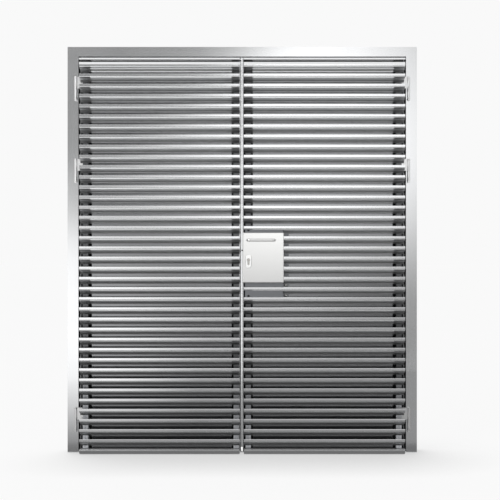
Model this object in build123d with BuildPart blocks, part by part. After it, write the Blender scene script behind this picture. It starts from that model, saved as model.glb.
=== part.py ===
from build123d import *
import os

# Double louvred entrance door: a mitred frame, two leaves that open outwards and a lock on the right leaf.
# Millimetres. X runs to the right, Y to the back and Z up. The origin is on the underside of the
# threshold, at the middle of the doorway's width and of the frame's depth.

# Frame
frame_width = 1736.0
frame_height = 2016.0
frame_depth = 80.0
jamb_face = 54.0
head_face = 47.5
frame_wall = 3.0
threshold_height = 5.0
threshold_bevel = 2.0
stop_width = 20.0
stop_wall = 2.0
centre_stop_width = 60.0

# Leaf body, behind the louvres
leaf_gap = 6.0
stop_gap = 6.0
leaf_thickness = 25.0
leaf_sheet = 2.0
left_leaf_inner_x = -14.8
right_leaf_inner_x = -5.6
post_width = 26.5
post_depth = 35.0
post_wall = 2.5
post_groove_width = 8.0
post_groove_depth = 3.0
inner_post_x = 16.5
outer_post_inset = 17.5
panel_inner_gap = 9.5
panel_outer_gap = 17.0
panel_depth = 25.0
panel_sheet = 2.0
panel_end_gap = 9.0

# Louvre blades
louvre_projection = 50.0
blade_pitch = 50.0
blade_depth = 40.0
blade_end_inset = 6.0
lowest_blade_rise = 50.0
left_blade_clearance = 5.0
right_blade_clearance = 0.8
nose_height = 16.0
nose_depth = 10.0
nose_top_chamfer = 1.2
nose_bottom_radius = 5.0
web_thickness = 3.5
web_bend_depth = 30.0
web_bend_drop = 10.5
tail_drop = 21.0
clip_thickness = 3.4
clip_height = 18.0
top_blade_lip = 7.5

# Top and bottom rails of the louvre field
top_rail_drop = 10.0
top_rail_height = 9.0
top_rail_gap = 10.0
top_rail_radius = 2.5
bottom_rail_bottom_z = 3.0
bottom_rail_height = 21.7
bottom_rail_radius = 12.0
rail_top_radius = 3.0

# Hinges
bottom_hinge_rise = 154.0
top_hinge_drop = 154.5
middle_hinge_drop = 408.0
hinge_length = 118.0
hinge_joint = 1.0
hinge_axis_inset = 12.0
hinge_axis_reach = 9.0
barrel_radius = 6.5
pin_radius = 4.0
pin_clearance = 0.08
pin_rise = 50.0
hinge_tab = 5.0
strap_thickness = 3.0
strap_back_gap = 3.0
strap_wing_depth = 26.0

# Meeting strip and foot bolt
strip_radius = 7.5
strip_depth = 16.0
strip_web = 5.5
strip_bottom_z = 40.0
strip_hole_z = 1005.0
strip_hole_radius = 3.5
strip_hole_depth = 6.0
foot_bolt_radius = 5.5
foot_bolt_drop = 26.0
foot_bolt_collar_radius = 6.5
foot_bolt_collar_length = 18.0
foot_bolt_neck = 1.5
foot_bolt_taper = 2.5

# Lock
case_left_inset = 10.0
case_right_inset = 4.0
case_drop = 71.0
case_rise = 20.0
case_pocket = 2.0
case_front_gap = 0.5
plate_left_x = 4.0
plate_width = 201.0
plate_bottom_z = 844.0
plate_height = 248.0
plate_depth = 8.0
plate_sheet = 2.0
plate_radius = 3.5
plate_fit = 4.0
bracket_lap = 11.0
bracket_width = 41.0

# Pull handle, escutcheon and cylinder
handle_radius = 7.0
handle_left_inset = 23.0
handle_span = 131.0
handle_drop = 37.0
handle_reach = 35.0
handle_bend = 13.0
escutcheon_inset = 27.0
escutcheon_rise = 106.5
escutcheon_width = 31.0
escutcheon_height = 66.0
escutcheon_depth = 4.0
escutcheon_edge = 1.5
cylinder_radius = 8.5
cylinder_rise = 6.5
cylinder_tail_width = 10.0
cylinder_tail_drop = 19.0
cylinder_proud = 2.0
cylinder_length = 40.0
cylinder_fit = 0.3
keyway_width = 2.5
keyway_height = 9.0
keyway_depth = 5.0

# Places worked out from the sizes above
frame_front_y = -frame_depth / 2
frame_back_y = frame_depth / 2
opening_half = frame_width / 2 - jamb_face
opening_top_z = frame_height - head_face
nose_y = frame_front_y - louvre_projection
post_front_y = nose_y + blade_depth
leaf_front_y = post_front_y + post_depth
leaf_back_y = leaf_front_y + leaf_thickness
leaf_outer_x = opening_half - leaf_gap
leaf_bottom_z = threshold_height + leaf_gap
leaf_top_z = opening_top_z - leaf_gap
outer_post_x = leaf_outer_x - outer_post_inset - post_width
panel_inner_x = inner_post_x + post_width + panel_inner_gap
panel_outer_x = outer_post_x - panel_outer_gap
stop_front_y = leaf_back_y + stop_gap
stop_top_z = opening_top_z - stop_width
hinge_axis_x = opening_half + hinge_axis_inset
hinge_axis_y = frame_front_y - hinge_axis_reach
top_hinge_z = leaf_top_z - top_hinge_drop
hinge_heights = (leaf_bottom_z + bottom_hinge_rise, top_hinge_z - middle_hinge_drop, top_hinge_z)
top_rail_top_z = leaf_top_z - top_rail_drop
bottom_rail_top_z = bottom_rail_bottom_z + bottom_rail_height
lowest_nose_top_z = bottom_rail_top_z + lowest_blade_rise
highest_nose_top_z = top_rail_top_z - top_rail_height - top_rail_gap - top_blade_lip
blade_count = int((highest_nose_top_z - lowest_nose_top_z) / blade_pitch) + 1
blade_outer_x = leaf_outer_x - blade_end_inset
left_blade_inner_x = -(strip_radius + left_blade_clearance)
right_blade_inner_x = strip_radius + right_blade_clearance
foot_bolt_tip_z = strip_bottom_z - foot_bolt_drop
foot_bolt_collar_z = strip_bottom_z - foot_bolt_collar_length
plate_right_x = plate_left_x + plate_width
plate_top_z = plate_bottom_z + plate_height
plate_front_y = nose_y - plate_depth
case_left_x = plate_left_x + case_left_inset
case_right_x = plate_right_x - case_right_inset
case_bottom_z = plate_bottom_z - case_drop
case_top_z = plate_top_z + case_rise
bracket_left_x = case_right_x - bracket_lap
bracket_right_x = bracket_left_x + bracket_width
handle_left_x = plate_left_x + handle_left_inset
handle_right_x = handle_left_x + handle_span
handle_z = plate_top_z - handle_drop
escutcheon_x = plate_left_x + escutcheon_inset
escutcheon_z = plate_bottom_z + escutcheon_rise
cylinder_z = escutcheon_z + cylinder_rise
cylinder_tail_z = cylinder_z - cylinder_tail_drop

os.makedirs("parts", exist_ok=True)


def ordered(side, near, far):
    """The low and high X of a piece that reaches from near to far on one side of the middle."""
    return (side * near, side * far) if side > 0 else (side * far, side * near)


# Frame jambs: hollow sections, mitred at the top where they meet the head.
for side, name in ((-1, "left"), (1, "right")):
    with BuildPart() as jamb:
        with BuildSketch(Plane.XZ.offset(-frame_back_y)):
            with BuildLine():
                Polyline(
                    (side * opening_half, 0),
                    (side * frame_width / 2, 0),
                    (side * frame_width / 2, frame_height),
                    (side * opening_half, opening_top_z),
                    close=True,
                )
            make_face()
        extrude(amount=frame_depth)
        mitre_slope = head_face / jamb_face
        with BuildSketch(Plane.XZ.offset(-(frame_back_y - frame_wall))):
            with BuildLine():
                Polyline(
                    (side * (opening_half + frame_wall), 0),
                    (side * (frame_width / 2 - frame_wall), 0),
                    (side * (frame_width / 2 - frame_wall), frame_height - frame_wall * mitre_slope),
                    (side * (opening_half + frame_wall), opening_top_z + frame_wall * mitre_slope),
                    close=True,
                )
            make_face()
        extrude(amount=frame_depth - 2 * frame_wall, mode=Mode.SUBTRACT)
    jamb.part.label = f"frame_jamb_{name}"
    export_step(jamb.part, f"parts/frame_jamb_{name}.step")

# Frame head: the same hollow section, mitred at both ends.
with BuildPart() as frame_head:
    with BuildSketch(Plane.XZ.offset(-frame_back_y)):
        with BuildLine():
            Polyline(
                (-opening_half, opening_top_z),
                (opening_half, opening_top_z),
                (frame_width / 2, frame_height),
                (-frame_width / 2, frame_height),
                close=True,
            )
        make_face()
    extrude(amount=frame_depth)
    mitre_run = jamb_face / head_face
    with BuildSketch(Plane.XZ.offset(-(frame_back_y - frame_wall))):
        with BuildLine():
            Polyline(
                (-(opening_half + frame_wall * mitre_run), opening_top_z + frame_wall),
                (opening_half + frame_wall * mitre_run, opening_top_z + frame_wall),
                (frame_width / 2 - frame_wall * mitre_run, frame_height - frame_wall),
                (-(frame_width / 2 - frame_wall * mitre_run), frame_height - frame_wall),
                close=True,
            )
        make_face()
    extrude(amount=frame_depth - 2 * frame_wall, mode=Mode.SUBTRACT)
frame_head.part.label = "frame_head"
export_step(frame_head.part, "parts/frame_head.step")

# Threshold: a flat bar on the floor between the jambs, with its long top edges bevelled.
with BuildPart() as frame_threshold:
    with BuildSketch():
        Rectangle(2 * opening_half, frame_depth)
    extrude(amount=threshold_height)
    chamfer(frame_threshold.faces().sort_by(Axis.Z)[-1].edges().filter_by(Axis.X), threshold_bevel)
frame_threshold.part.label = "frame_threshold"
export_step(frame_threshold.part, "parts/frame_threshold.step")

# Stops behind the leaves: small hollow sections on both jambs, under the head and at the middle.
stop_depth = frame_back_y - stop_front_y
stop_middle_y = (stop_front_y + frame_back_y) / 2
upright_stops = {
    "left": (-(opening_half - stop_width / 2), stop_width),
    "right": (opening_half - stop_width / 2, stop_width),
    "centre": (0.0, centre_stop_width),
}
for name, (middle_x, width) in upright_stops.items():
    with BuildPart() as stop:
        with BuildSketch(Plane.XY.offset(threshold_height)):
            with Locations((middle_x, stop_middle_y)):
                Rectangle(width, stop_depth)
                Rectangle(width - 2 * stop_wall, stop_depth - 2 * stop_wall, mode=Mode.SUBTRACT)
        extrude(amount=stop_top_z - threshold_height)
    stop.part.label = f"frame_stop_{name}"
    export_step(stop.part, f"parts/frame_stop_{name}.step")

with BuildPart() as frame_stop_head:
    with BuildSketch(Plane.YZ.offset(-opening_half)):
        with Locations((stop_middle_y, (stop_top_z + opening_top_z) / 2)):
            Rectangle(stop_depth, stop_width)
            Rectangle(stop_depth - 2 * stop_wall, stop_width - 2 * stop_wall, mode=Mode.SUBTRACT)
    extrude(amount=2 * opening_half)
frame_stop_head.part.label = "frame_stop_head"
export_step(frame_stop_head.part, "parts/frame_stop_head.step")

# Hinges: a lower barrel with its pin on the jamb, and an upper barrel with a strap on the leaf's post.
lower_length = (hinge_length - hinge_joint) / 2
outer_post_side_x = outer_post_x + post_width
for side, name in ((-1, "left"), (1, "right")):
    axis_x = side * hinge_axis_x
    with BuildPart() as frame_hinges:
        for height in hinge_heights:
            bottom_z = height - hinge_length / 2
            with BuildSketch(Plane.XY.offset(bottom_z)):
                with Locations((axis_x, hinge_axis_y)):
                    Circle(barrel_radius)
                with Locations((axis_x, (hinge_axis_y + frame_front_y) / 2)):
                    Rectangle(hinge_tab, hinge_axis_reach)
            extrude(amount=lower_length)
            with BuildSketch(Plane.XY.offset(bottom_z)):
                with Locations((axis_x, hinge_axis_y)):
                    Circle(pin_radius)
            extrude(amount=lower_length + pin_rise)
    frame_hinges.part.label = f"frame_hinges_{name}"
    export_step(frame_hinges.part, f"parts/frame_hinges_{name}.step")

    strap_front_y = frame_front_y - strap_back_gap - strap_thickness
    with BuildPart() as leaf_hinges:
        for height in hinge_heights:
            with BuildSketch(Plane.XY.offset(height + hinge_joint / 2)):
                with Locations((axis_x, hinge_axis_y)):
                    Circle(barrel_radius)
                strap_middle_x = side * (outer_post_side_x + hinge_axis_x) / 2
                with Locations((strap_middle_x, strap_front_y + strap_thickness / 2)):
                    Rectangle(hinge_axis_x - outer_post_side_x, strap_thickness)
                wing_middle_x = side * (outer_post_side_x + strap_thickness / 2)
                with Locations((wing_middle_x, strap_front_y + strap_wing_depth / 2)):
                    Rectangle(strap_thickness, strap_wing_depth)
                with Locations((axis_x, hinge_axis_y)):
                    Circle(pin_radius + pin_clearance, mode=Mode.SUBTRACT)
            extrude(amount=lower_length)
    leaf_hinges.part.label = f"{name}_leaf_hinges"
    export_step(leaf_hinges.part, f"parts/{name}_leaf_hinges.step")

# Leaf bodies: a sheet tray open to the front, filled with a board, and two grooved posts on its front.
leaf_low_high = {
    "left": (-leaf_outer_x, left_leaf_inner_x),
    "right": (right_leaf_inner_x, leaf_outer_x),
}
for side, name in ((-1, "left"), (1, "right")):
    low_x, high_x = leaf_low_high[name]
    middle = ((low_x + high_x) / 2, (leaf_bottom_z + leaf_top_z) / 2)
    leaf_height = leaf_top_z - leaf_bottom_z
    with BuildPart() as tray:
        with BuildSketch(Plane.XZ.offset(-leaf_back_y)):
            with Locations(middle):
                Rectangle(high_x - low_x, leaf_height)
        extrude(amount=leaf_thickness)
        offset(amount=-leaf_sheet, openings=tray.faces().sort_by(Axis.Y)[0])
    tray.part.label = f"{name}_tray"
    export_step(tray.part, f"parts/{name}_tray.step")

    with BuildPart() as board:
        with BuildSketch(Plane.XZ.offset(-(leaf_back_y - leaf_sheet))):
            with Locations(middle):
                Rectangle(high_x - low_x - 2 * leaf_sheet, leaf_height - 2 * leaf_sheet)
        extrude(amount=leaf_thickness - leaf_sheet)
    board.part.label = f"{name}_board"
    export_step(board.part, f"parts/{name}_board.step")

    for place, near_x in (("outer", outer_post_x), ("inner", inner_post_x)):
        middle_x = side * (near_x + post_width / 2)
        cavity_front_y = post_front_y + post_groove_depth + post_wall
        cavity_back_y = leaf_front_y - post_wall
        with BuildPart() as post:
            with BuildSketch(Plane.XY.offset(leaf_bottom_z)):
                with Locations((middle_x, (post_front_y + leaf_front_y) / 2)):
                    Rectangle(post_width, post_depth)
                with Locations((middle_x, (cavity_front_y + cavity_back_y) / 2)):
                    Rectangle(post_width - 2 * post_wall, cavity_back_y - cavity_front_y, mode=Mode.SUBTRACT)
                with Locations((middle_x, post_front_y + post_groove_depth / 2)):
                    Rectangle(post_groove_width, post_groove_depth, mode=Mode.SUBTRACT)
            extrude(amount=leaf_height)
        post.part.label = f"{name}_post_{place}"
        export_step(post.part, f"parts/{name}_post_{place}.step")

    panel_low_x, panel_high_x = ordered(side, panel_inner_x, panel_outer_x)
    panel_bottom_z = leaf_bottom_z + panel_end_gap
    panel_top_z = leaf_top_z - panel_end_gap
    with BuildPart() as panel:
        with BuildSketch(Plane.XZ.offset(-leaf_front_y)):
            with Locations(((panel_low_x + panel_high_x) / 2, (panel_bottom_z + panel_top_z) / 2)):
                Rectangle(panel_high_x - panel_low_x, panel_top_z - panel_bottom_z)
        extrude(amount=panel_depth)
        offset(amount=-panel_sheet, openings=panel.faces().sort_by(Axis.Y)[-1])
    panel.part.label = f"{name}_panel"
    export_step(panel.part, f"parts/{name}_panel.step")

# Louvre blades: a round-edged nose in front, and a web that runs back and down to a clip on the posts.
blade_spans = {
    "left": (-blade_outer_x, left_blade_inner_x),
    "right": (right_blade_inner_x, blade_outer_x),
}
web_slope = web_bend_drop / (web_bend_depth - nose_bottom_radius)
web_root_z = -nose_height - web_slope * (nose_depth - nose_bottom_radius) + web_thickness
clip_front = blade_depth - clip_thickness
for name, (low_x, high_x) in blade_spans.items():
    with BuildPart() as slats:
        with BuildSketch(Plane.YZ.offset(low_x)):
            for number in range(blade_count):
                top_z = lowest_nose_top_z + number * blade_pitch
                lip = top_blade_lip if number == blade_count - 1 else 0.0
                with BuildLine():
                    front = Line(
                        (nose_y, top_z + lip - nose_top_chamfer),
                        (nose_y, top_z - nose_height + nose_bottom_radius),
                    )
                    lower_arc = RadiusArc(
                        front @ 1,
                        (nose_y + nose_bottom_radius, top_z - nose_height),
                        nose_bottom_radius,
                    )
                    Polyline(
                        lower_arc @ 1,
                        (nose_y + web_bend_depth, top_z - nose_height - web_bend_drop),
                        (post_front_y, top_z - nose_height - tail_drop),
                        (post_front_y, top_z - nose_height - tail_drop + clip_height),
                        (nose_y + clip_front, top_z - nose_height - tail_drop + clip_height),
                        (nose_y + clip_front, top_z - nose_height - web_bend_drop - web_thickness / 2),
                        (nose_y + web_bend_depth, top_z - nose_height - web_bend_drop + web_thickness),
                        (nose_y + nose_depth, top_z + web_root_z),
                        (nose_y + nose_depth, top_z + lip),
                        (nose_y + nose_top_chamfer, top_z + lip),
                        front @ 0,
                    )
                make_face()
        extrude(amount=high_x - low_x)
        if name == "right":
            # The lock case stands behind the noses, and the plate's seat comes right through them.
            pocket_middle_x = (right_blade_inner_x + case_right_x) / 2
            pocket_width = case_right_x - right_blade_inner_x + 2 * case_pocket
            with BuildSketch(Plane.XZ.offset(-post_front_y)):
                with Locations((pocket_middle_x, (case_bottom_z + case_top_z) / 2)):
                    Rectangle(pocket_width, case_top_z - case_bottom_z + 2 * case_pocket)
            extrude(amount=blade_depth - nose_depth, mode=Mode.SUBTRACT)
            with BuildSketch(Plane.XZ.offset(-post_front_y)):
                with Locations((pocket_middle_x, (plate_bottom_z + plate_top_z) / 2)):
                    Rectangle(pocket_width, plate_top_z - plate_bottom_z - 2 * plate_sheet)
            extrude(amount=blade_depth, mode=Mode.SUBTRACT)
    slats.part.label = f"{name}_slats"
    export_step(slats.part, f"parts/{name}_slats.step")

    # Top rail: a slim closed edge over the blades. Bottom rail: a deeper one, rounded under its front.
    with BuildPart() as top_rail:
        with BuildSketch(Plane.YZ.offset(low_x)):
            with Locations(((nose_y + post_front_y) / 2, top_rail_top_z - top_rail_height / 2)):
                Rectangle(blade_depth, top_rail_height)
        extrude(amount=high_x - low_x)
        fillet(top_rail.faces().sort_by(Axis.Y)[0].edges().filter_by(Axis.X), top_rail_radius)
    top_rail.part.label = f"{name}_top_rail"
    export_step(top_rail.part, f"parts/{name}_top_rail.step")

    with BuildPart() as bottom_rail:
        with BuildSketch(Plane.YZ.offset(low_x)):
            with Locations(((nose_y + post_front_y) / 2, bottom_rail_bottom_z + bottom_rail_height / 2)):
                Rectangle(blade_depth, bottom_rail_height)
        extrude(amount=high_x - low_x)
        front_edges = bottom_rail.faces().sort_by(Axis.Y)[0].edges().filter_by(Axis.X).sort_by(Axis.Z)
        fillet(front_edges[0], bottom_rail_radius)
        front_edges = bottom_rail.faces().sort_by(Axis.Z)[-1].edges().filter_by(Axis.X).sort_by(Axis.Y)
        fillet(front_edges[0], rail_top_radius)
    bottom_rail.part.label = f"{name}_bottom_rail"
    export_step(bottom_rail.part, f"parts/{name}_bottom_rail.step")

# Meeting strip: a half-round bar over the gap between the leaves, on a web from the right leaf.
with BuildPart() as meeting_strip:
    with BuildSketch(Plane.XY.offset(strip_bottom_z)):
        with Locations((0, nose_y + strip_radius)):
            Circle(strip_radius)
        with Locations((0, nose_y + (strip_radius + strip_depth) / 2)):
            Rectangle(2 * strip_radius, strip_depth - strip_radius)
        with Locations((strip_radius - strip_web / 2, (nose_y + strip_radius + leaf_front_y) / 2)):
            Rectangle(strip_web, leaf_front_y - nose_y - strip_radius)
    extrude(amount=top_rail_top_z - strip_bottom_z)
    with BuildSketch(Plane.XZ.offset(-(nose_y + strip_hole_depth))):
        with Locations((0, strip_hole_z)):
            Circle(strip_hole_radius)
    extrude(amount=strip_hole_depth, mode=Mode.SUBTRACT)
meeting_strip.part.label = "meeting_strip"
export_step(meeting_strip.part, "parts/meeting_strip.step")

# Foot bolt: a turned rod with a collar and a tapered tip below the strip.
with BuildPart() as foot_bolt:
    with BuildSketch(Plane.XZ.offset(-(nose_y + strip_radius))):
        with BuildLine():
            Polyline(
                (0, foot_bolt_tip_z),
                (foot_bolt_radius - foot_bolt_taper, foot_bolt_tip_z),
                (foot_bolt_radius, foot_bolt_tip_z + foot_bolt_taper),
                (foot_bolt_radius, foot_bolt_collar_z),
                (foot_bolt_collar_radius, foot_bolt_collar_z + foot_bolt_neck),
                (foot_bolt_collar_radius, strip_bottom_z),
                (0, strip_bottom_z),
                close=True,
            )
        make_face()
    revolve(axis=Axis((0, nose_y + strip_radius, 0), (0, 0, 1)))
foot_bolt.part.label = "foot_bolt"
export_step(foot_bolt.part, "parts/foot_bolt.step")


# Lock cylinder: the usual round barrel with a narrower tail below it, seen from the front.
cylinder_front_y = plate_front_y - escutcheon_depth - cylinder_proud
cylinder_back_y = cylinder_front_y + cylinder_length


def cylinder_form(spare):
    """The cylinder's whole length as a solid, larger all round by spare."""
    with BuildPart() as form:
        with BuildSketch(Plane.XZ.offset(-cylinder_back_y)):
            with Locations((escutcheon_x, cylinder_z)):
                Circle(cylinder_radius + spare)
            with Locations((escutcheon_x, (cylinder_z + cylinder_tail_z) / 2)):
                Rectangle(cylinder_tail_width + 2 * spare, cylinder_z - cylinder_tail_z)
            with Locations((escutcheon_x, cylinder_tail_z)):
                Circle(cylinder_tail_width / 2 + spare)
        extrude(amount=cylinder_length)
    return form.part


cylinder_passage = cylinder_form(cylinder_fit)
with BuildPart() as lock_cylinder:
    add(cylinder_form(0.0))
    with BuildSketch(Plane.XZ.offset(-(cylinder_front_y + keyway_depth))):
        with Locations((escutcheon_x, cylinder_z)):
            Rectangle(keyway_width, keyway_height)
    extrude(amount=keyway_depth, mode=Mode.SUBTRACT)
lock_cylinder.part.label = "lock_cylinder"
export_step(lock_cylinder.part, "parts/lock_cylinder.step")

# Lock case: a box on the inner post behind the noses, with a raised seat that fills the plate.
case_front_y = nose_y + nose_depth + case_front_gap
seat_front_y = plate_front_y + plate_sheet
with BuildPart() as lock_case:
    with BuildSketch(Plane.XZ.offset(-post_front_y)):
        with Locations(((case_left_x + case_right_x) / 2, (case_bottom_z + case_top_z) / 2)):
            Rectangle(case_right_x - case_left_x, case_top_z - case_bottom_z)
    extrude(amount=post_front_y - case_front_y)
    with BuildSketch(Plane.XZ.offset(-case_front_y)):
        with Locations(((case_left_x + case_right_x) / 2, (plate_bottom_z + plate_top_z) / 2)):
            Rectangle(case_right_x - case_left_x, plate_top_z - plate_bottom_z - 2 * plate_fit)
    extrude(amount=case_front_y - seat_front_y)
    add(cylinder_passage, mode=Mode.SUBTRACT)
lock_case.part.label = "lock_case"
export_step(lock_case.part, "parts/lock_case.step")

# Lock bracket: a flat bar on the panel that carries the far side of the case and the cut blades.
with BuildPart() as lock_bracket:
    with BuildSketch(Plane.XZ.offset(-(leaf_front_y - panel_depth))):
        with Locations(((bracket_left_x + bracket_right_x) / 2, (case_bottom_z + case_top_z) / 2)):
            Rectangle(bracket_right_x - bracket_left_x, case_top_z - case_bottom_z)
    extrude(amount=leaf_front_y - panel_depth - post_front_y)
lock_bracket.part.label = "lock_bracket"
export_step(lock_bracket.part, "parts/lock_bracket.step")

# Lock plate: a shallow tray of folded sheet, its edges turned back over the seat.
with BuildPart() as lock_plate:
    with BuildSketch(Plane.XZ.offset(-nose_y)):
        with Locations(((plate_left_x + plate_right_x) / 2, (plate_bottom_z + plate_top_z) / 2)):
            Rectangle(plate_right_x - plate_left_x, plate_top_z - plate_bottom_z)
    extrude(amount=plate_depth)
    fillet(lock_plate.faces().sort_by(Axis.Y)[0].edges(), plate_radius)
    with BuildSketch(Plane.XZ.offset(-nose_y)):
        with Locations(((plate_left_x + plate_right_x) / 2, (plate_bottom_z + plate_top_z) / 2)):
            Rectangle(
                plate_right_x - plate_left_x - 2 * plate_sheet,
                plate_top_z - plate_bottom_z - 2 * plate_sheet,
            )
    extrude(amount=plate_depth - plate_sheet, mode=Mode.SUBTRACT)
    add(cylinder_passage, mode=Mode.SUBTRACT)
lock_plate.part.label = "lock_plate"
export_step(lock_plate.part, "parts/lock_plate.step")

# Escutcheon: an oblong rose round the cylinder.
with BuildPart() as escutcheon:
    with BuildSketch(Plane.XZ.offset(-plate_front_y)):
        with Locations((escutcheon_x, escutcheon_z)):
            SlotOverall(escutcheon_height, escutcheon_width, rotation=90)
    extrude(amount=escutcheon_depth)
    chamfer(escutcheon.faces().sort_by(Axis.Y)[0].edges(), escutcheon_edge)
    add(cylinder_passage, mode=Mode.SUBTRACT)
escutcheon.part.label = "escutcheon"
export_step(escutcheon.part, "parts/escutcheon.step")

# Pull handle: one bent rod whose ends stand square on the plate.
with BuildPart() as pull_handle:
    with BuildLine(Plane.XY.offset(handle_z)) as handle_line:
        FilletPolyline(
            (handle_left_x, plate_front_y),
            (handle_left_x, plate_front_y - handle_reach),
            (handle_right_x, plate_front_y - handle_reach),
            (handle_right_x, plate_front_y),
            radius=handle_bend,
        )
    with BuildSketch(Plane.XZ.offset(-plate_front_y)):
        with Locations((handle_left_x, handle_z)):
            Circle(handle_radius)
    sweep(path=handle_line.wires()[0])
pull_handle.part.label = "pull_handle"
export_step(pull_handle.part, "parts/pull_handle.step")
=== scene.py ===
import math
import bpy
import bmesh
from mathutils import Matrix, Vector


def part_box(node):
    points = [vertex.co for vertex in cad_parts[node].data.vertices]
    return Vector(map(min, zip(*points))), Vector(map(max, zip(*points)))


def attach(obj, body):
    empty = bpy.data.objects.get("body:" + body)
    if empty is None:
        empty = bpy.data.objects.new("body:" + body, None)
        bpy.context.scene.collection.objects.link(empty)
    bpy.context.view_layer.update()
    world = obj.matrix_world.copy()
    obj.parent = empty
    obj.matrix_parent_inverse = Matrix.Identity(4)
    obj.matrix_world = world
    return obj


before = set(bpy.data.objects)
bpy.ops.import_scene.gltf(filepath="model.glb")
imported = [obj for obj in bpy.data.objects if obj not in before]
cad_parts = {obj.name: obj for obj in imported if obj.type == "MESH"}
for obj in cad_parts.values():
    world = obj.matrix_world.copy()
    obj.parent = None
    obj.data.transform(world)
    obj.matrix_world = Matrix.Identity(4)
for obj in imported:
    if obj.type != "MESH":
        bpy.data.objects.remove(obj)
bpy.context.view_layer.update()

# Frame: hollow extruded aluminium jambs and head, mitred at the corners, with box stops behind the leaves
# and a flat threshold bar. It is satin anodised: a soft sheen that keeps the fine lines the die leaves
# along each length, so the uprights carry them up and the level pieces across.
MM = 0.001               # outlines and sizes of fine detail are in mm, places and pitches in metres
LINE_TONE = 0.95         # of a drawn metal's darkest lines
ROUGH_SPREAD = 0.15      # how far its roughness wavers, as a share
SHARP_EDGE = 32.0        # degrees, past which a turned piece keeps an edge


def linear(code):
    """An sRGB hex colour as the linear colour that a shader takes."""
    parts = [int(code[i:i + 2], 16) / 255 for i in (1, 3, 5)]
    return [p / 12.92 if p <= 0.04045 else ((p + 0.055) / 1.055) ** 2.4 for p in parts] + [1.0]


def add(tree, kind, inputs=(), **settings):
    """Adds one node, with its settings and with each input set to a value or linked to a socket."""
    made = tree.nodes.new("ShaderNode" + kind)
    for name, value in settings.items():
        setattr(made, name, value)
    for name, value in dict(inputs).items():
        if isinstance(value, bpy.types.NodeSocket):
            tree.links.new(value, made.inputs[name])
        else:
            made.inputs[name].default_value = value
    return made


def drawn_metal(name, colour, roughness, grain, line_mm, depth_mm, run_mm=600.0, cloud_mm=180.0):
    """A metal with lines along one axis: line_mm apart and depth_mm deep, each about run_mm long."""
    made = bpy.data.materials.new(name)
    made.use_nodes = True
    tree = made.node_tree
    shader = tree.nodes["Principled BSDF"]
    shader.inputs["Metallic"].default_value = 1.0
    place = add(tree, "TexCoord").outputs["Object"]
    across = 1 / (line_mm * MM)
    along = 1 / (run_mm * MM)
    scales = [along if axis == grain else across for axis in "xyz"]
    stretch = add(tree, "Mapping", {"Vector": place, "Scale": scales})
    lines = add(tree, "TexNoise", {"Vector": stretch.outputs[0], "Scale": 1.0, "Detail": 3.0,
                                   "Roughness": 0.6})
    cloud = add(tree, "TexNoise", {"Vector": place, "Scale": 1 / (cloud_mm * MM), "Detail": 2.0})
    tone = add(tree, "MapRange", {"Value": lines.outputs["Fac"], "From Min": 0.3, "From Max": 0.7,
                                  "To Min": LINE_TONE, "To Max": 1.0})
    tint = add(tree, "VectorMath", {0: linear(colour)[:3]}, operation="SCALE")
    tree.links.new(tone.outputs[0], tint.inputs["Scale"])
    tree.links.new(tint.outputs[0], shader.inputs["Base Color"])
    mixed = add(tree, "Math", {0: lines.outputs["Fac"], 1: cloud.outputs["Fac"]}, operation="ADD")
    rough = add(tree, "MapRange", {"Value": mixed.outputs[0], "From Min": 0.6, "From Max": 1.4,
                                   "To Min": roughness * (1 - ROUGH_SPREAD),
                                   "To Max": roughness * (1 + ROUGH_SPREAD)})
    tree.links.new(rough.outputs[0], shader.inputs["Roughness"])
    bump = add(tree, "Bump", {"Height": lines.outputs["Fac"], "Distance": depth_mm * MM, "Strength": 1.0})
    tree.links.new(bump.outputs[0], shader.inputs["Normal"])
    return made


def finish(node, material):
    """Gives a CAD node its material."""
    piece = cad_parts[node]
    piece.data.materials.clear()
    piece.data.materials.append(material)


frame_upright = drawn_metal("satin_anodised_aluminium_upright", "#F0F1F2", 0.19, "z", 1.6, 0.003)
frame_level = drawn_metal("satin_anodised_aluminium_level", "#F0F1F2", 0.19, "x", 1.6, 0.003)
for node in ("frame_jamb_left", "frame_jamb_right", "frame_stop_left", "frame_stop_right",
             "frame_stop_centre"):
    finish(node, frame_upright)
for node in ("frame_head", "frame_stop_head", "frame_threshold"):
    finish(node, frame_level)

# Frame screws: stainless pan heads with a round driver socket, turned and bright. They hold the stops to
# the jambs and head, and the threshold to the floor, and stand 2 mm proud of what they hold.
SCREW_OUTLINE = [(0, 0.5), (1.5, 0.5), (1.6, 1.7), (1.9, 1.9), (3.0, 1.8), (3.8, 1.3), (4.2, 0.6),
                 (4.2, 0), (0, 0)]
STOP_SCREW_PITCH = 0.38
HEAD_SCREWS_X = (-0.6, -0.2, 0.2, 0.6)
THRESHOLD_SCREWS_X = (-0.72, -0.36, 0.36, 0.72)
THRESHOLD_SCREW_AHEAD = 24.0


def shown(name, form, body, material):
    """Puts a finished mesh in the scene as one smooth-shaded piece that rides on a body."""
    bmesh.ops.recalc_face_normals(form, faces=form.faces)
    mesh = bpy.data.meshes.new(name)
    form.to_mesh(mesh)
    form.free()
    mesh.polygons.foreach_set("use_smooth", [True] * len(mesh.polygons))
    mesh.set_sharp_from_angle(angle=math.radians(SHARP_EDGE))
    mesh.materials.append(material)
    piece = bpy.data.objects.new(name, mesh)
    bpy.context.scene.collection.objects.link(piece)
    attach(piece, body)
    return piece


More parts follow.
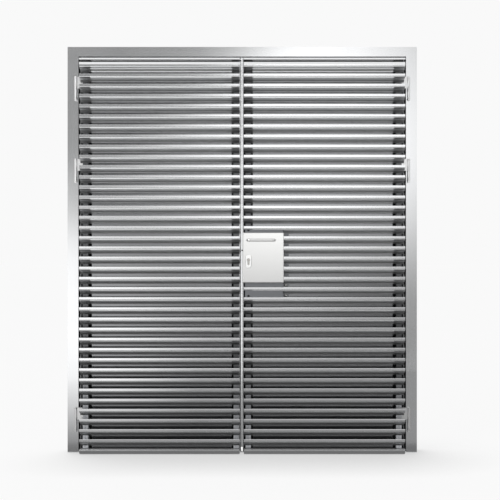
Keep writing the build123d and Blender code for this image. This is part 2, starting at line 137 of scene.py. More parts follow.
def turn_at(form, outline, place, facing, sides=24):
    """Adds one closed turned shape: an outline of radius and height in mm, its heights along facing."""
    turn = Vector((0, 0, 1)).rotation_difference(Vector(facing))
    rings = []
    for radius, height in outline:
        around = range(sides) if radius else range(1)
        angles = [2 * math.pi * i / sides for i in around]
        rings.append([form.verts.new(Vector(place) + turn @ Vector(
            (radius * MM * math.cos(a), radius * MM * math.sin(a), height * MM))) for a in angles])
    for low, high in zip(rings, rings[1:]):
        for i in range(sides):
            j = (i + 1) % sides
            corners = [low[i % len(low)], low[j % len(low)], high[j % len(high)], high[i % len(high)]]
            form.faces.new(dict.fromkeys(corners))


screw_steel = drawn_metal("turned_stainless_screw", "#C8C8C6", 0.22, "z", 0.6, 0.002, 3.0)
form = bmesh.new()
for side, facing in (("left", 1), ("right", -1)):
    low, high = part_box(f"frame_stop_{side}")
    face_x = high[0] if facing > 0 else low[0]
    middle_y = (low[1] + high[1]) / 2
    count = int((high[2] - low[2]) / STOP_SCREW_PITCH)
    first_z = (low[2] + high[2] - (count - 1) * STOP_SCREW_PITCH) / 2
    for i in range(count):
        turn_at(form, SCREW_OUTLINE, (face_x, middle_y, first_z + i * STOP_SCREW_PITCH), (facing, 0, 0))
low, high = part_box("frame_stop_head")
for x in HEAD_SCREWS_X:
    turn_at(form, SCREW_OUTLINE, (x, (low[1] + high[1]) / 2, low[2]), (0, 0, -1))
low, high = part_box("frame_threshold")
for x in THRESHOLD_SCREWS_X:
    screw_y = (low[1] + high[1]) / 2 - THRESHOLD_SCREW_AHEAD * MM
    turn_at(form, SCREW_OUTLINE, (x, screw_y, high[2]), (0, 0, 1))
shown("frame_screws", form, "frame", screw_steel)

# Door seals: black rubber bulbs pushed into the front of the stops, which the closed leaves press on, and a
# flat strip of the same rubber in the gap between each jamb and its leaf. Extruded rubber is quite matt,
# with a faint cloudy bloom, and reads as a black line.
SEAL_BULB = 2.2
SEAL_FOOT = 7.0
SEAL_BASE = 1.2
CENTRE_SEAL_INSET = 8.0
STRIP_DEEP = 22.0
STRIP_THICK = 2.6
STRIP_CORNER = 0.6
STRIP_AHEAD = 26.0
RUBBER_CLOUD = 9.0
RUBBER_ROUGH = (0.65, 0.9)


def seal_outline():
    """Half of a bulb on a flat foot, in mm: across the stop, and out from its face."""
    arc = [(SEAL_BULB * math.cos(math.radians(a)), SEAL_BASE + SEAL_BULB * math.sin(math.radians(a)))
           for a in range(0, 181, 20)]
    half = SEAL_FOOT / 2
    return [(half, 0), (half, SEAL_BASE)] + arc + [(-half, SEAL_BASE), (-half, 0)]


def run_along(form, outline, start, end, across, out):
    """Adds one closed bar: an outline in mm, across and out, carried straight from start to end."""
    ends = [[form.verts.new(Vector(point) + Vector(across) * u * MM + Vector(out) * v * MM)
             for u, v in outline] for point in (start, end)]
    form.faces.new(ends[0])
    form.faces.new(reversed(ends[1]))
    for i in range(len(outline)):
        j = (i + 1) % len(outline)
        form.faces.new((ends[0][i], ends[0][j], ends[1][j], ends[1][i]))


rubber = bpy.data.materials.new("extruded_black_rubber")
rubber.use_nodes = True
tree = rubber.node_tree
place = add(tree, "TexCoord").outputs["Object"]
bloom_and_painted_light = add(tree, "TexNoise", {"Vector": place, "Scale": 1 / (RUBBER_CLOUD * MM), "Detail": 4.0})
shade = add(tree, "ValToRGB", {"Fac": bloom_and_painted_light.outputs["Fac"]})
shade.color_ramp.elements[0].color = linear("#0E0E0F")
shade.color_ramp.elements[1].color = linear("#1C1C1E")
worn = add(tree, "MapRange", {"Value": bloom_and_painted_light.outputs["Fac"], "To Min": RUBBER_ROUGH[0],
                              "To Max": RUBBER_ROUGH[1]})
tree.links.new(shade.outputs[0], tree.nodes["Principled BSDF"].inputs["Base Color"])
tree.links.new(worn.outputs[0], tree.nodes["Principled BSDF"].inputs["Roughness"])
form = bmesh.new()
for side in ("left", "right", "centre"):
    low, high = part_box(f"frame_stop_{side}")
    inset = CENTRE_SEAL_INSET * MM
    places = (low[0] + inset, high[0] - inset) if side == "centre" else ((low[0] + high[0]) / 2,)
    for x in places:
        run_along(form, seal_outline(), (x, low[1], low[2]), (x, low[1], high[2]), (1, 0, 0), (0, -1, 0))
low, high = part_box("frame_stop_head")
head_z = (low[2] + high[2]) / 2
run_along(form, seal_outline(), (low[0], low[1], head_z), (high[0], low[1], head_z), (0, 0, 1), (0, -1, 0))
shown("stop_seals", form, "frame", rubber)
strip_outline = [(0, 0), (STRIP_THICK, STRIP_CORNER), (STRIP_THICK, STRIP_DEEP - STRIP_CORNER),
                 (0, STRIP_DEEP)]
form = bmesh.new()
for side, inward in (("left", 1), ("right", -1)):
    stop_low, stop_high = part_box(f"frame_stop_{side}")
    leaf_low, leaf_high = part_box(f"{side}_tray")
    face_x = stop_low[0] if inward > 0 else stop_high[0]
    strip_y = stop_low[1] - STRIP_AHEAD * MM
    run_along(form, strip_outline, (face_x, strip_y, leaf_low[2]), (face_x, strip_y, leaf_high[2]),
              (inward, 0, 0), (0, 1, 0))
shown("jamb_gap_seals", form, "frame", rubber)

# Leaf trays: folded from 2 mm mill-finish sheet, open to the front. The rolling leaves long faint lines
# and a cloudy sheen, and blind rivets along each post hold the post from behind.
RIVET_OUTLINE = [(0, 1.0), (1.3, 1.0), (1.5, 1.4), (2.8, 1.5), (4.0, 1.1), (4.7, 0.4), (4.8, 0), (0, 0)]
RIVET_PITCH = 0.24
RIVET_SHARES = (("outer", 0.5), ("inner", 0.75))        # how far across each post its rivets stand
tray_sheet = drawn_metal("mill_finish_aluminium_sheet", "#C9CACC", 0.34, "z", 3.0, 0.003, 900.0)
rivet_metal = drawn_metal("blind_rivet_aluminium", "#D2D2D2", 0.3, "z", 1.2, 0.003, 3.0)
for side in ("left", "right"):
    finish(f"{side}_tray", tray_sheet)
    low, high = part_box(f"{side}_tray")
    form = bmesh.new()
    for post, share in RIVET_SHARES:
        post_low, post_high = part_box(f"{side}_post_{post}")
        near, far = (post_low[0], post_high[0]) if side == "right" else (post_high[0], post_low[0])
        x = near + (far - near) * share
        count = int((high[2] - low[2]) / RIVET_PITCH)
        first_z = (low[2] + high[2] - (count - 1) * RIVET_PITCH) / 2
        for i in range(count):
            turn_at(form, RIVET_OUTLINE, (x, high[1], first_z + i * RIVET_PITCH), (0, 1, 0))
    shown(f"{side}_tray_rivets", form, f"{side}_leaf", rivet_metal)

# Insulation boards: pressed mineral wool with a black fleece facing, laid in the trays. The fleece is
# quite matt, with short matted fibres, and its near black is partly painted shade for the deep recess
# beside the posts.
FIBRE = 3.0
FIBRE_RELIEF = 0.3
FLEECE_ROUGH = 0.9
fleece = bpy.data.materials.new("black_fleece_and_painted_shade")
fleece.use_nodes = True
tree = fleece.node_tree
shader = tree.nodes["Principled BSDF"]
place = add(tree, "TexCoord").outputs["Object"]
fibres = add(tree, "TexNoise", {"Vector": place, "Scale": 1 / (FIBRE * MM), "Detail": 4.0,
                                "Roughness": 0.7})
shade = add(tree, "ValToRGB", {"Fac": fibres.outputs["Fac"]})
shade.color_ramp.elements[0].color = linear("#0A0A0B")
shade.color_ramp.elements[1].color = linear("#222326")
tree.links.new(shade.outputs[0], shader.inputs["Base Color"])
shader.inputs["Roughness"].default_value = FLEECE_ROUGH
relief = add(tree, "Bump", {"Height": fibres.outputs["Fac"], "Distance": FIBRE_RELIEF * MM,
                            "Strength": 1.0})
tree.links.new(relief.outputs[0], shader.inputs["Normal"])
# The boards' near-black colour is partly painted shade.
for side in ("left", "right"):
    finish(f"{side}_board", fleece)

# Posts: grooved aluminium extrusions that carry the blades. They are left as they come from the press,
# duller and greyer than the blades. Towards the foot they are painted lighter and less metallic: painted
# light for the light from above that falls on their lower part.
PAINTED_LIGHT_START = 0.42
PAINTED_LIGHT_FULL = 0.1
PAINTED_LIGHT_TONE = 6.0                # times the bare metal's tone
PAINTED_LIGHT_METAL = 0.2
post_metal = drawn_metal("press_finish_post", "#6A6B6D", 0.32, "z", 1.8, 0.004)
for side in ("left", "right"):
    for post in ("outer", "inner"):
        finish(f"{side}_post_{post}", post_metal)


def share_along(tree, axis, start, end):
    """A share from 0 to 1 along one axis of a piece, from start to end."""
    place = add(tree, "SeparateXYZ", {0: add(tree, "TexCoord").outputs["Object"]})
    share = add(tree, "MapRange", {"Value": place.outputs[axis], "From Min": start, "From Max": end})
    return share.outputs[0]


def tone_by(tree, tone):
    """Multiplies a metal's colour by a tone."""
    colour = tree.nodes["Principled BSDF"].inputs["Base Color"]
    toned = add(tree, "VectorMath", {0: colour.links[0].from_socket, "Scale": tone}, operation="SCALE")
    tree.links.new(toned.outputs[0], colour)


# Painted light: towards the foot the posts' colour rises to six times lighter and their metal falls.
tree = post_metal.node_tree
bloom_and_painted_light = share_along(tree, "Z", PAINTED_LIGHT_START, PAINTED_LIGHT_FULL)
painted_foot_tone = add(tree, "MapRange", {"Value": bloom_and_painted_light, "To Min": 1.0, "To Max": PAINTED_LIGHT_TONE})
painted_foot_metal = add(tree, "MapRange", {"Value": bloom_and_painted_light, "To Min": 1.0, "To Max": PAINTED_LIGHT_METAL})
tone_by(tree, painted_foot_tone.outputs[0])
tree.links.new(painted_foot_metal.outputs[0], tree.nodes["Principled BSDF"].inputs["Metallic"])

# Panels: flat aluminium sheet with returned edges, fixed between the posts. The rolled face is a dull
# mirror that shows the blades' backs as soft bands.
panel_sheet = drawn_metal("rolled_panel_sheet", "#949597", 0.16, "x", 2.4, 0.001)
for side in ("left", "right"):
    finish(f"{side}_panel", panel_sheet)

# Louvre blades and rails: long extrusions, bright anodised, clipped to the posts. Their polished noses
# mirror the light in front softly and show the die lines along their length. The webs behind them are
# matt, with painted light and shade: whitish and less metallic over the panel, painted darker over the
# posts, and painted darker towards the foot.
blade_metal = drawn_metal("bright_anodised_louvre_extrusion", "#F2F3F4", 0.18, "x", 1.5, 0.002)
for side in ("left", "right"):
    for part in ("slats", "top_rail", "bottom_rail"):
        finish(f"{side}_{part}", blade_metal)
slats_low, slats_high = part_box("left_slats")
nose_front = slats_low[1]
tree = blade_metal.node_tree
shader = tree.nodes["Principled BSDF"]
# The top rail and the lip of the topmost blade roll back a little, so they catch the light from above.
LIP_DROP = 12.5
LIP_EDGE = 0.5
LIP_LEAN = (0, 0, 0.5)


def lean(tree, share, push):
    """Leans a surface by a push in the piece's own frame: a slight roll or fold the form leaves out."""
    normal = tree.nodes["Principled BSDF"].inputs["Normal"]
    turned = add(tree, "VectorTransform", {"Vector": push}, vector_type="VECTOR", convert_from="OBJECT",
                 convert_to="WORLD")
    pushed = add(tree, "VectorMath", {0: turned.outputs[0], "Scale": share}, operation="SCALE")
    leant = add(tree, "VectorMath", {0: normal.links[0].from_socket, 1: pushed.outputs[0]}, operation="ADD")
    true = add(tree, "VectorMath", {0: leant.outputs[0]}, operation="NORMALIZE")
    tree.links.new(true.outputs[0], normal)


lip_z = slats_high[2] - LIP_DROP * MM
lean(tree, share_along(tree, "Z", lip_z, lip_z + LIP_EDGE * MM), LIP_LEAN)
# Where the blades lie over the panel: 1 between its edges and 0 past them.
EDGE_BLUR = 3.0
panel_low, panel_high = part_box("right_panel")
place = add(tree, "SeparateXYZ", {0: add(tree, "TexCoord").outputs["Object"]})
side_x = add(tree, "Math", {0: place.outputs["X"]}, operation="ABSOLUTE").outputs[0]
past_inner = add(tree, "MapRange", {"Value": side_x, "From Min": panel_low[0] - EDGE_BLUR * MM,
                                    "From Max": panel_low[0] + EDGE_BLUR * MM})
before_outer = add(tree, "MapRange", {"Value": side_x, "From Min": panel_high[0] + EDGE_BLUR * MM,
                                      "From Max": panel_high[0] - EDGE_BLUR * MM})
over_panel = add(tree, "Math", {0: past_inner.outputs[0], 1: before_outer.outputs[0]},
                 operation="MULTIPLY").outputs[0]
# The finish by depth, as stops of mm behind the noses' front and a value from 0 to 1: how far the matt web
# has set in, its painted tone over the panel and over the posts, with a dark band of painted shade at the
# clip, and the small folds that catch the front light, one under each nose and two further back on the
# topmost web.
WEB = [(0, 0.0), (4.5, 0.0), (8.5, 1.0), (50, 1.0)]
PAINTED_TONE_OVER_PANEL = [(0, 1.0), (27, 1.0), (30, 0.4), (34, 0.4), (36, 1.0), (50, 1.0)]
PAINTED_TONE_OVER_POSTS = [(0, 1.0), (2, 1.0), (8.5, 0.45), (12, 0.5), (20, 0.95), (28, 0.95), (30, 0.35),
                   (50, 0.35)]
FOLD = [(0, 0.0), (4.5, 0.0), (5.5, 1.0), (10.5, 1.0), (12.5, 0.0), (50, 0.0)]
TOPMOST_FOLDS = [(0, 0.0), (15, 0.0), (16.5, 1.0), (23, 1.0), (24.5, 0.0), (33, 0.0), (35, 1.0),
                 (50, 1.0)]
TOPMOST_DROP = 55.0             # the topmost web lies less than this below the slats' top
FACING_DOWN = (-0.3, -0.5)      # only undersides fold: the normal's height where a fold starts and is full


def by_depth(stops):
    """A value that follows the depth in mm behind the noses' front, straight from stop to stop."""
    reach = stops[-1][0]
    depth = share_along(tree, "Y", nose_front, nose_front + reach * MM)
    ramp = add(tree, "ValToRGB", {"Fac": depth})
    elements = ramp.color_ramp.elements
    elements.remove(elements[1])
    elements[0].position = 0.0
    elements[0].color = [stops[0][1]] * 3 + [1.0]
    for stop, value in stops[1:]:
        elements.new(stop / reach).color = [value] * 3 + [1.0]
    return ramp.outputs["Color"]


web = by_depth(WEB)
topmost_z = slats_high[2] - TOPMOST_DROP * MM
topmost = share_along(tree, "Z", topmost_z, topmost_z + MM)
fold = add(tree, "MapRange", {"Value": topmost, "To Min": by_depth(FOLD),
                              "To Max": by_depth(TOPMOST_FOLDS)})
faces = add(tree, "SeparateXYZ", {0: add(tree, "TexCoord").outputs["Normal"]})
underside = add(tree, "MapRange", {"Value": faces.outputs["Z"], "From Min": FACING_DOWN[0],
                                   "From Max": FACING_DOWN[1]})
fold = add(tree, "Math", {0: fold.outputs[0], 1: underside.outputs[0]}, operation="MULTIPLY")
fold = add(tree, "Math", {0: fold.outputs[0], 1: over_panel}, operation="MULTIPLY").outputs[0]
whitish = add(tree, "Math", {0: over_panel, 1: web}, operation="MULTIPLY")
whitish = add(tree, "Math", {0: whitish.outputs[0], 1: fold}, operation="SUBTRACT",
              use_clamp=True).outputs[0]
# How rough, metallic and bright they are. The webs and folds are painted darker towards the foot:
# painted shade for the light from above, which falls more on the upper blades.
WEB_ROUGH = 0.55
WEB_METAL = 0.35
FOOT_Z = 0.2
FOLD_FULL_LIGHT_Z = 1.7
WEB_FULL_LIGHT_Z = 1.3
FOLD_PAINTED_SHADE = 0.25
WEB_PAINTED_SHADE = 0.45
FOLD_PUSH = (0, -4.0, 0.6)
# Painted shade by height: the webs and folds darker towards the foot.
fold_shade_by_height = add(tree, "MapRange", {"Value": share_along(tree, "Z", FOOT_Z, FOLD_FULL_LIGHT_Z),
                                   "To Min": FOLD_PAINTED_SHADE, "To Max": 1.0})
web_shade_by_height = add(tree, "MapRange", {"Value": share_along(tree, "Z", FOOT_Z, WEB_FULL_LIGHT_Z),
                                  "To Min": WEB_PAINTED_SHADE, "To Max": 1.0})
# Painted shade by depth: the webs darker over the posts and in a band at the clip.
painted_depth_shade = add(tree, "MapRange", {"Value": over_panel, "To Min": by_depth(PAINTED_TONE_OVER_POSTS),
                                    "To Max": by_depth(PAINTED_TONE_OVER_PANEL)})
fold_or_depth = add(tree, "MapRange", {"Value": fold, "To Min": painted_depth_shade.outputs[0],
                                       "To Max": fold_shade_by_height.outputs[0]})
whitish_tone = add(tree, "MapRange", {"Value": whitish, "To Min": 1.0, "To Max": web_shade_by_height.outputs[0]})
tone_by(tree, fold_or_depth.outputs[0])
tone_by(tree, whitish_tone.outputs[0])
web_rough = add(tree, "Math", {0: web, 1: WEB_ROUGH}, operation="MULTIPLY")
rough = add(tree, "Math", {0: shader.inputs["Roughness"].links[0].from_socket, 1: web_rough.outputs[0]},
            operation="MAXIMUM")
metal = add(tree, "MapRange", {"Value": whitish, "To Min": 1.0, "To Max": WEB_METAL})
tree.links.new(rough.outputs[0], shader.inputs["Roughness"])
tree.links.new(metal.outputs[0], shader.inputs["Metallic"])
lean(tree, fold, FOLD_PUSH)

# Meeting strip: a half-round extrusion, anodised like the blades, down the leading edge of the right leaf.
# The bore of its small hole is rough and painted near black: painted shade for its deep recess.
HOLE_RADIUS = 3.5
HOLE_Z = 1.005
BORE_START = 1.2                # how far behind the strip's front its dark wall starts
BORE_MARGIN = 1.1
strip_metal = drawn_metal("bright_anodised_meeting_strip", "#F2F3F4", 0.18, "z", 1.5, 0.002)
bore_painted_shade = drawn_metal("bore_wall_painted_shade", "#1C1C1D", 0.6, "y", 0.6, 0.004, 4.0)
finish("meeting_strip", strip_metal)
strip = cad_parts["meeting_strip"].data
strip.materials.append(bore_painted_shade)
bore_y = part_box("meeting_strip")[0][1] + BORE_START * MM
bore_reach = BORE_MARGIN * HOLE_RADIUS * MM
# The faces inside the hole take the painted shade.
for face in strip.polygons:
    off_axis = max(abs(face.center.x), abs(face.center.z - HOLE_Z))
    if face.center.y > bore_y and off_axis < bore_reach:
        face.material_index = 1

# Foot bolt: a turned and polished stainless rod with a collar, at the foot of the meeting strip. Its faces
# are crowned, so they show the light from above as one bright spot.
CROWN_LEAN = (0, 0, 0.7)
bolt_steel = drawn_metal("polished_stainless_rod", "#FAFAF9", 0.16, "x", 0.5, 0.0005, 8.0)
finish("foot_bolt", bolt_steel)
lean(bolt_steel.node_tree, 1.0, CROWN_LEAN)

# Hinges: turned stainless barrels on pins, one half welded to the jamb, the other on a strap to the
# leaf's post. The lathe leaves fine rings round the barrel.
hinge_metal = drawn_metal("turned_stainless_hinge", "#FAFAFA", 0.34, "x", 0.7, 0.001, 30.0)
for node in ("frame_hinges_left", "frame_hinges_right", "left_leaf_hinges", "right_leaf_hinges"):
    finish(node, hinge_metal)

# Lock case and bracket: pressed steel box and bar, zinc plated: a dull even grey with faint blooms. Two
# blackened pan heads with a socket hold the case to the post, and two bright domed heads hold the bracket.
CASE_SCREW_OUTLINE = [(0, 0.4), (2.2, 0.4), (2.4, 1.6), (4.4, 1.5), (5.4, 0.9), (5.8, 0), (0, 0)]
CASE_SCREW_INSET = 17.0
CASE_SCREW_END = 7.0
CASE_BEHIND = 10.5              # how far the case's front lies behind the noses' front
DOME_OUTLINE = [(0, 4.0), (1.6, 3.9), (3.4, 3.5), (5.2, 2.8), (6.8, 1.7), (7.6, 0.9), (8.0, 0), (0, 0)]
DOME_INSET = 15.0
DOME_HEIGHTS = (0.781, 0.832)
case_metal = drawn_metal("zinc_plated_lock_case", "#85878A", 0.4, "x", 3.0, 0.003, 30)
finish("lock_case", case_metal)
finish("lock_bracket", case_metal)
blackened = drawn_metal("blackened_screw_steel", "#2E2E30", 0.42, "z", 0.6, 0.002, 3.0)
low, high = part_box("lock_case")
form = bmesh.new()
for z in (low[2] + CASE_SCREW_END * MM, high[2] - CASE_SCREW_END * MM):
    seat = (low[0] + CASE_SCREW_INSET * MM, nose_front + CASE_BEHIND * MM, z)
    turn_at(form, CASE_SCREW_OUTLINE, seat, (0, -1, 0))
shown("lock_case_screws", form, "right_leaf", blackened)
low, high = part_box("lock_bracket")
form = bmesh.new()
for z in DOME_HEIGHTS:
    turn_at(form, DOME_OUTLINE, (high[0] - DOME_INSET * MM, low[1], z), (0, -1, 0), sides=32)
shown("lock_bracket_screws", form, "right_leaf", screw_steel)

# Lock plate and pull bar: stainless steel, brushed level with fine short strokes, and a bevel pressed along
# the plate's lower edge. The escutcheon is the same steel polished, with a whiter colour as a painted
# highlight for the light from above, so it stands out on the plate.
BEVEL = 6.0
BEVEL_EDGE = 0.4
BEVEL_LEAN = (0, 0, -0.45)
plate_metal = drawn_metal("brushed_stainless_plate", "#E8E8E7", 0.12, "x", 0.8, 0.0005, 40)
bar_metal = drawn_metal("polished_stainless_bar", "#F0F0EF", 0.1, "x", 0.8, 0.0005, 60)
# The escutcheon's whiter colour is a painted highlight.
rose_painted_highlight = drawn_metal("polished_stainless_rose_painted_highlight", "#FFFFFE", 0.14, "z", 0.8, 0.0005, 20)
finish("lock_plate", plate_metal)
finish("pull_handle", bar_metal)
finish("escutcheon", rose_painted_highlight)
bevel_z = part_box("lock_plate")[0][2] + BEVEL * MM
tree = plate_metal.node_tree
lean(tree, share_along(tree, "Z", bevel_z, bevel_z - BEVEL_EDGE * MM), BEVEL_LEAN)

# Lock cylinder: nickel-plated brass, turned, its face ground flat round the key plug. The plating is a
# little warmer and duller than the polished steel round it.
cylinder_metal = drawn_metal("nickel_plated_cylinder", "#C4C3BF", 0.24, "y", 0.8, 0.001, 20)
finish("lock_cylinder", cylinder_metal)

# Stage: a pale floor and background of one tone. The floor has a soft shade where the door stands on it,
# drawn out to the front and right, and a thin dark line where the door all but touches it. It also sends
# some light up to the matt surfaces.
PALE = linear("#F9F9F9")
FLOOR_REACH = 60.0
SHADE_REACH = 0.5
SHADE_SIDE = (-0.45, 0.55, 0.7)         # the way a point of the floor looks for what shades it
SHADE_OPEN = (0.4, 1.0)                 # how open it is there at the deepest shade and at none
SHADE_DEEPEST = 0.7
CONTACT_REACH = 0.004
CONTACT_OPEN = (0.35, 0.85)
CONTACT_DEEPEST = 0.05
SHADE_SAMPLES = 8
FLOOR_WHITE = 0.12                      # what the floor takes of the shadows
FLOOR_BOUNCE = 0.5                      # what it sends up to matt surfaces
WORLD_LIGHT = 0.8
floor_mesh = bpy.data.meshes.new("floor")
floor_form = bmesh.new()
for x, y in ((-1, -1), (1, -1), (1, 1), (-1, 1)):
    floor_form.verts.new((x * FLOOR_REACH, y * FLOOR_REACH, 0))
floor_form.faces.new(floor_form.verts)
floor_form.to_mesh(floor_mesh)
floor = bpy.data.objects.new("floor", floor_mesh)
bpy.context.scene.collection.objects.link(floor)
pale_floor = bpy.data.materials.new("pale_floor")
pale_floor.use_nodes = True
tree = pale_floor.node_tree
tree.nodes.remove(tree.nodes["Principled BSDF"])


def background_rays(tree):
    """One for rays that show the background, seen straight or in gloss or glass, and zero for the rest."""
    path = add(tree, "LightPath")
    seen = add(tree, "Math", {0: path.outputs["Is Camera Ray"], 1: path.outputs["Is Glossy Ray"]},
               operation="MAXIMUM")
    return add(tree, "Math", {0: seen.outputs[0], 1: path.outputs["Is Transmission Ray"]},
               operation="MAXIMUM").outputs[0]


tilt = add(tree, "CombineXYZ", {"X": SHADE_SIDE[0], "Y": SHADE_SIDE[1], "Z": SHADE_SIDE[2]})
near = add(tree, "AmbientOcclusion", {"Distance": SHADE_REACH, "Normal": tilt.outputs[0]},
           samples=SHADE_SAMPLES)
shade = add(tree, "MapRange", {"Value": near.outputs["AO"], "From Min": SHADE_OPEN[0],
                               "From Max": SHADE_OPEN[1], "To Min": SHADE_DEEPEST, "To Max": 1.0})
touching = add(tree, "AmbientOcclusion", {"Distance": CONTACT_REACH}, samples=SHADE_SAMPLES)
contact = add(tree, "MapRange", {"Value": touching.outputs["AO"], "From Min": CONTACT_OPEN[0],
                                 "From Max": CONTACT_OPEN[1], "To Min": CONTACT_DEEPEST, "To Max": 1.0})
lit = add(tree, "Math", {0: shade.outputs[0], 1: contact.outputs[0]}, operation="MULTIPLY")
bounce = add(tree, "Math", {0: add(tree, "LightPath").outputs["Is Diffuse Ray"], 1: FLOOR_BOUNCE},
             operation="MULTIPLY")
level = add(tree, "Math", {0: background_rays(tree), 1: bounce.outputs[0]}, operation="MAXIMUM")
level = add(tree, "Math", {0: level.outputs[0], 1: lit.outputs[0]}, operation="MULTIPLY")
level = add(tree, "Math", {0: level.outputs[0], 1: 1 - FLOOR_WHITE * WORLD_LIGHT}, operation="MULTIPLY")
glow = add(tree, "Emission", {"Color": PALE, "Strength": level.outputs[0]})
matt = add(tree, "BsdfDiffuse", {"Color": [FLOOR_WHITE] * 3 + [1.0]})
both = add(tree, "AddShader", {0: glow.outputs[0], 1: matt.outputs[0]})
tree.links.new(both.outputs[0], tree.nodes["Material Output"].inputs["Surface"])
floor_mesh.materials.append(pale_floor)

world = bpy.data.worlds.new("studio")
bpy.context.scene.world = world
world.use_nodes = True
tree = world.node_tree
level = add(tree, "MapRange", {"Value": background_rays(tree), "To Min": WORLD_LIGHT, "To Max": 1.0})
tree.links.new(level.outputs[0], tree.nodes["Background"].inputs["Strength"])
tree.nodes["Background"].inputs["Color"].default_value = PALE

# Camera: square to the door at half its height, far enough off that 1 px is about 4.9 mm on the louvres.
CAMERA = Vector((0.0386, -4.69, 1.0067))
SENSOR = 36.0
LENS = 67.36
camera_data = bpy.data.cameras.new("camera")
camera_data.sensor_width = SENSOR
camera_data.lens = LENS
camera = bpy.data.objects.new("camera", camera_data)
camera.location = CAMERA
camera.rotation_euler = (math.radians(90), 0, 0)
bpy.context.scene.collection.objects.link(camera)
bpy.context.scene.camera = camera
bpy.context.scene.view_settings.view_transform = "Standard"

# Reflectors: dim grey cards in front of the door that only the metal's gloss sees. A broad soft streak of
# light runs up across them to the right, which the metal shows as its bright band.
WALL_Y = -6.0
WALL_FOOT = -0.01
WALL_TOP = 6.0
LOW_Y = -0.6
LOW_TOP = 0.3
LOW_REACH = -2.3
FOOT_Y = -0.12
CARD_REACH = 9.0
CARD_LIFT = 0.002
DIM = 0.291
BRIGHT = 1.564
# Each streak: its share of the light, then its edges. An edge is a direction over the card's two slopes, and
# where it is dark and fully lit. The first two streaks, DIM and BRIGHT were not chosen by hand: a search
# found them from the brightness of the photo's blades. The last two stand far out at the sides.
STREAKS = [(1.0, [((0.975, 0, 0.22), -0.154, 0.036), ((-0.413, 0, 0.911), -0.108, 0.031),
                  ((-0.883, 0, -0.469), -0.343, -0.151), ((0.655, 0, -0.756), -0.164, -0.151)]),
           (0.752, [((-1.0, 0, -0.028), 0.063, 0.147), ((-0.022, 0, 1.0), -0.201, -0.117),
                    ((-0.461, 0, -0.888), 0.029, 0.09)]),
           (1.0, [((1, 0, 0), 0.6, 0.66)]), (1.0, [((-1, 0, 0), 0.6, 0.66)])]
reflector_paint = bpy.data.materials.new("reflector_paint")
reflector_paint.use_nodes = True
tree = reflector_paint.node_tree
tree.nodes.remove(tree.nodes["Principled BSDF"])
place = add(tree, "TexCoord").outputs["Object"]
depth = add(tree, "SeparateXYZ", {0: place}).outputs["Y"]
run = add(tree, "Math", {0: 2 * nose_front - CAMERA.y, 1: depth}, operation="SUBTRACT")
share = add(tree, "Math", {0: 1.0, 1: run.outputs[0]}, operation="DIVIDE")
offset = add(tree, "VectorMath", {0: place, 1: CAMERA}, operation="SUBTRACT")
slopes = add(tree, "VectorMath", {0: offset.outputs[0], "Scale": share.outputs[0]}, operation="SCALE")
lit = 0.0
for share_of_light, edges in STREAKS:
    streak = share_of_light
    for direction, dark_at, lit_at in edges:
        across = add(tree, "VectorMath", {0: slopes.outputs[0], 1: direction}, operation="DOT_PRODUCT")
        edge = add(tree, "MapRange", {"Value": across.outputs["Value"], "From Min": dark_at,
                                      "From Max": lit_at})
        streak = add(tree, "Math", {0: streak, 1: edge.outputs[0]}, operation="MULTIPLY").outputs[0]
    lit = add(tree, "Math", {0: lit, 1: streak}, operation="ADD", use_clamp=True).outputs[0]
strength = add(tree, "MapRange", {"Value": lit, "To Min": DIM, "To Max": BRIGHT})
glow = add(tree, "Emission", {"Color": [1.0] * 4, "Strength": strength.outputs[0]})
tree.links.new(glow.outputs[0], tree.nodes["Material Output"].inputs["Surface"])


def card(name, corners, paint):
    """A flat card that the metal mirrors and the camera doesn't see."""
    mesh = bpy.data.meshes.new(name)
    form = bmesh.new()
    form.faces.new([form.verts.new(c) for c in corners])
    form.to_mesh(mesh)
    made = bpy.data.objects.new(name, mesh)
    bpy.context.scene.collection.objects.link(made)
    mesh.materials.append(paint)
    made.visible_camera = False
    made.visible_shadow = False
    made.visible_diffuse = False


def level_card(name, front_y, back_y, paint, reach=CARD_REACH, lift=CARD_LIFT):
    """A card that lies just over the floor."""
    card(name, [(-reach, front_y, lift), (reach, front_y, lift), (reach, back_y, lift),
                (-reach, back_y, lift)], paint)


def upright_card(name, y, bottom_z, top_z, paint):
    """A card that stands square to the view."""
    card(name, [(-CARD_REACH, y, bottom_z), (CARD_REACH, y, bottom_z), (CARD_REACH, y, top_z),
                (-CARD_REACH, y, top_z)], paint)


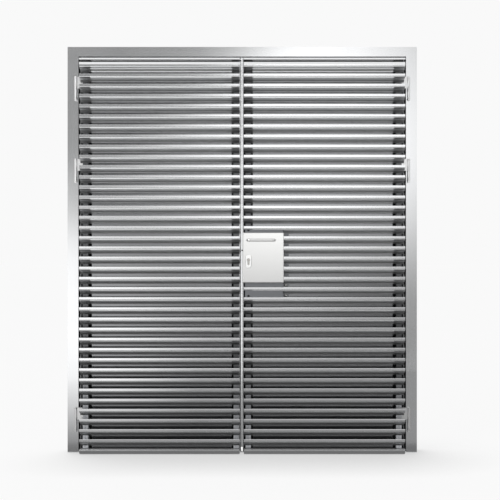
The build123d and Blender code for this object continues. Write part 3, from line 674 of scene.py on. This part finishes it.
upright_card("far_reflector", WALL_Y, WALL_FOOT, WALL_TOP, reflector_paint)
upright_card("low_reflector", LOW_Y, CARD_LIFT, LOW_TOP, reflector_paint)
level_card("foot_reflector", LOW_Y, FOOT_Y, reflector_paint)
level_card("floor_reflector", WALL_Y, LOW_REACH, reflector_paint)

# Flags: dark cards at both sides and on the floor close to the door. They keep stray light out of the
# blades' ends and give the rounded edges their dark lines.
FLAG_X = 2.6
FLAG_FRONT = -0.6
FLAG_BACK = 0.4
FLAG_TOP = 2.6
FLAG_LEVEL = 0.1
FOOT_FLAG_FRONT = -0.24
FOOT_LIFT = 0.003
FOOT_LEVEL = 0.17


def flag_paint(name, level):
    """The even tone of one kind of flag."""
    made = bpy.data.materials.new(name)
    made.use_nodes = True
    tree = made.node_tree
    tree.nodes.remove(tree.nodes["Principled BSDF"])
    glow = add(tree, "Emission", {"Strength": level})
    tree.links.new(glow.outputs[0], tree.nodes["Material Output"].inputs["Surface"])
    return made


side_cloth = flag_paint("flag_cloth", FLAG_LEVEL)
foot_cloth = flag_paint("foot_flag_cloth", FOOT_LEVEL)
for side, x in (("left", -FLAG_X), ("right", FLAG_X)):
    card(f"{side}_flag", [(x, FLAG_FRONT, 0.0), (x, FLAG_BACK, 0.0), (x, FLAG_BACK, FLAG_TOP),
                          (x, FLAG_FRONT, FLAG_TOP)], side_cloth)
level_card("foot_flag", FOOT_FLAG_FRONT, 0.0, foot_cloth, FLAG_X, FOOT_LIFT)

# Key light: one broad soft lamp at the front left, above the door. It only lifts the matt surfaces a little.
KEY_PLACE = Vector((-3.5, -3.5, 4.5))
KEY_AIM = Vector((0, 0, 1))
KEY_SIZE = 3.0
KEY_POWER = 60.0
key_data = bpy.data.lights.new("key", "AREA")
key_data.shape = "RECTANGLE"
key_data.size = KEY_SIZE
key_data.size_y = KEY_SIZE
key_data.energy = KEY_POWER
key = bpy.data.objects.new("key", key_data)
key.location = KEY_PLACE
key.rotation_euler = (KEY_AIM - KEY_PLACE).to_track_quat("-Z", "Y").to_euler()
bpy.context.scene.collection.objects.link(key)
